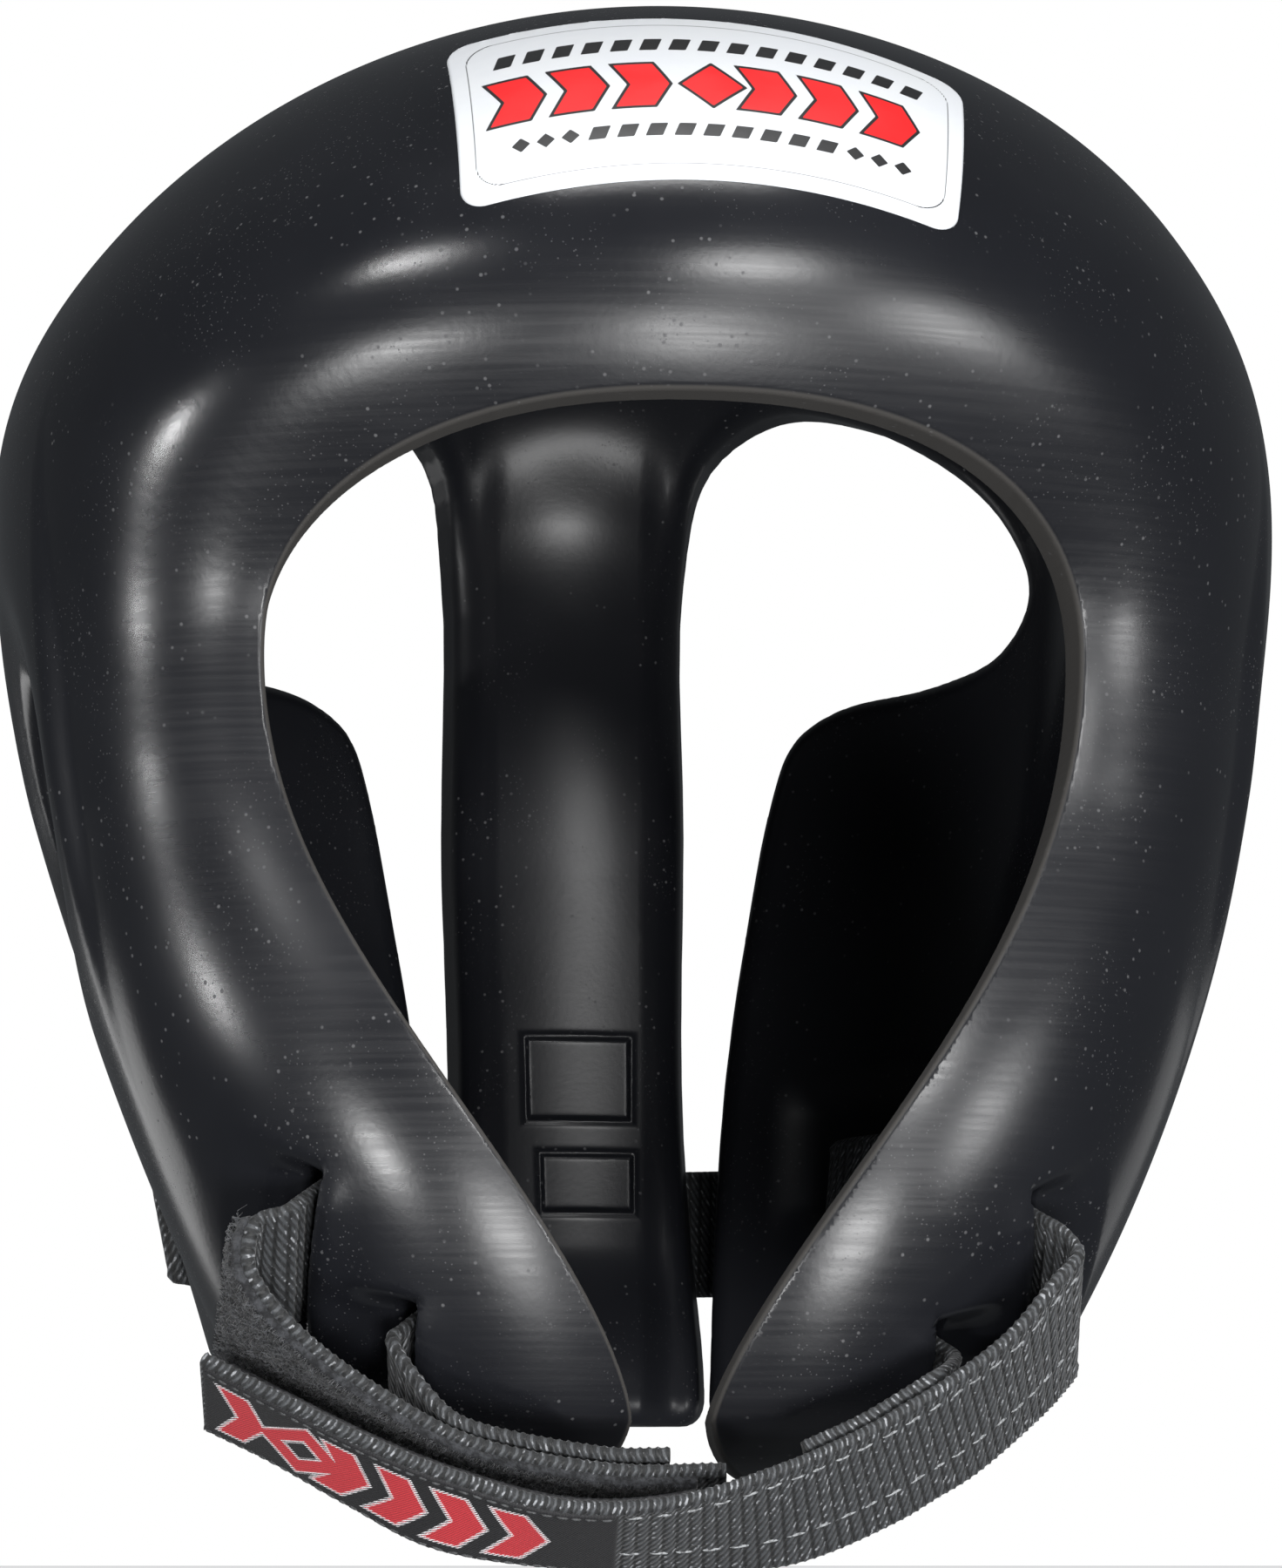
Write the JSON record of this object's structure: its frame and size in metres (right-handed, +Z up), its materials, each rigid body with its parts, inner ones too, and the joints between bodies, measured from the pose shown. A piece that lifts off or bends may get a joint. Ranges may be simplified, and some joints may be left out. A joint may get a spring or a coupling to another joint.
{
  "type": "head guard",
  "caption": "One-piece moulded foam boxing head guard with an open face, rear windows beside a centre strip, ear openings and hook-and-loop webbing closures under the chin and behind the neck.",
  "frame": {"origin": "centre of the head cavity at the hat line, the widest section of the shell", "axes": "+Z up towards the crown, -Y out of the face opening, +X to the right of someone looking at the face"},
  "size_m": [0.23, 0.2346, 0.2792],
  "materials": {
    "foam": "semi-gloss black integral skin",
    "label_vinyl": "printed white vinyl",
    "webbing": "ribbed dark grey webbing",
    "hook_tape": "matt hooks",
    "pile_tape": "fuzzy loop pile",
    "woven_label": "woven satin"
  },
  "bodies": {
    "shell": {"guard_shell": "foam", "forehead_label": "label_vinyl", "chin_right_loop": "webbing", "chin_left_loop": "webbing", "rear_right_loop": "webbing", "rear_left_loop": "webbing", "chin_left_pile_tape_fixed": "pile_tape"},
    "chin_right": {"chin_right_webbing": "webbing", "chin_right_leg": "webbing", "chin_right_hook_tape": "hook_tape", "chin_right_tab_label": "woven_label"},
    "chin_left": {"chin_left_webbing": "webbing", "chin_left_leg": "webbing", "chin_left_pile_tape": "pile_tape"},
    "rear_right": {"rear_right_webbing": "webbing", "rear_right_leg": "webbing", "rear_right_hook_tape": "hook_tape"},
    "rear_left": {"rear_left_webbing": "webbing", "rear_left_leg": "webbing", "rear_left_pile_tape": "pile_tape"}
  },
  "joints": [
    {"name": "chin_right_open", "type": "hinge", "parent": "shell", "child": "chin_right", "pos_m": [0.04045, -0.07525, -0.16541], "axis": [-0.2795, -0.7505, 0.5988], "range_deg": [0, 75]},
    {"name": "chin_left_open", "type": "hinge", "parent": "shell", "child": "chin_left", "pos_m": [-0.03573, -0.06986, -0.1721], "axis": [0.0198, 0.8566, -0.5156], "range_deg": [0, 30]},
    {"name": "rear_right_open", "type": "hinge", "parent": "shell", "child": "rear_right", "pos_m": [0.04555, 0.09723, -0.11869], "axis": [-0.0813, -0.1744, -0.9813], "range_deg": [0, 75]},
    {"name": "rear_left_open", "type": "hinge", "parent": "shell", "child": "rear_left", "pos_m": [-0.04537, 0.09722, -0.11869], "axis": [-0.0813, 0.1744, 0.9813], "range_deg": [0, 22.5]}
  ],
  "couplings": [
    {"joint": "chin_left_open", "follows": "chin_right_open", "ratio": 0.4},
    {"joint": "rear_left_open", "follows": "rear_right_open", "ratio": 0.3}
  ]
}
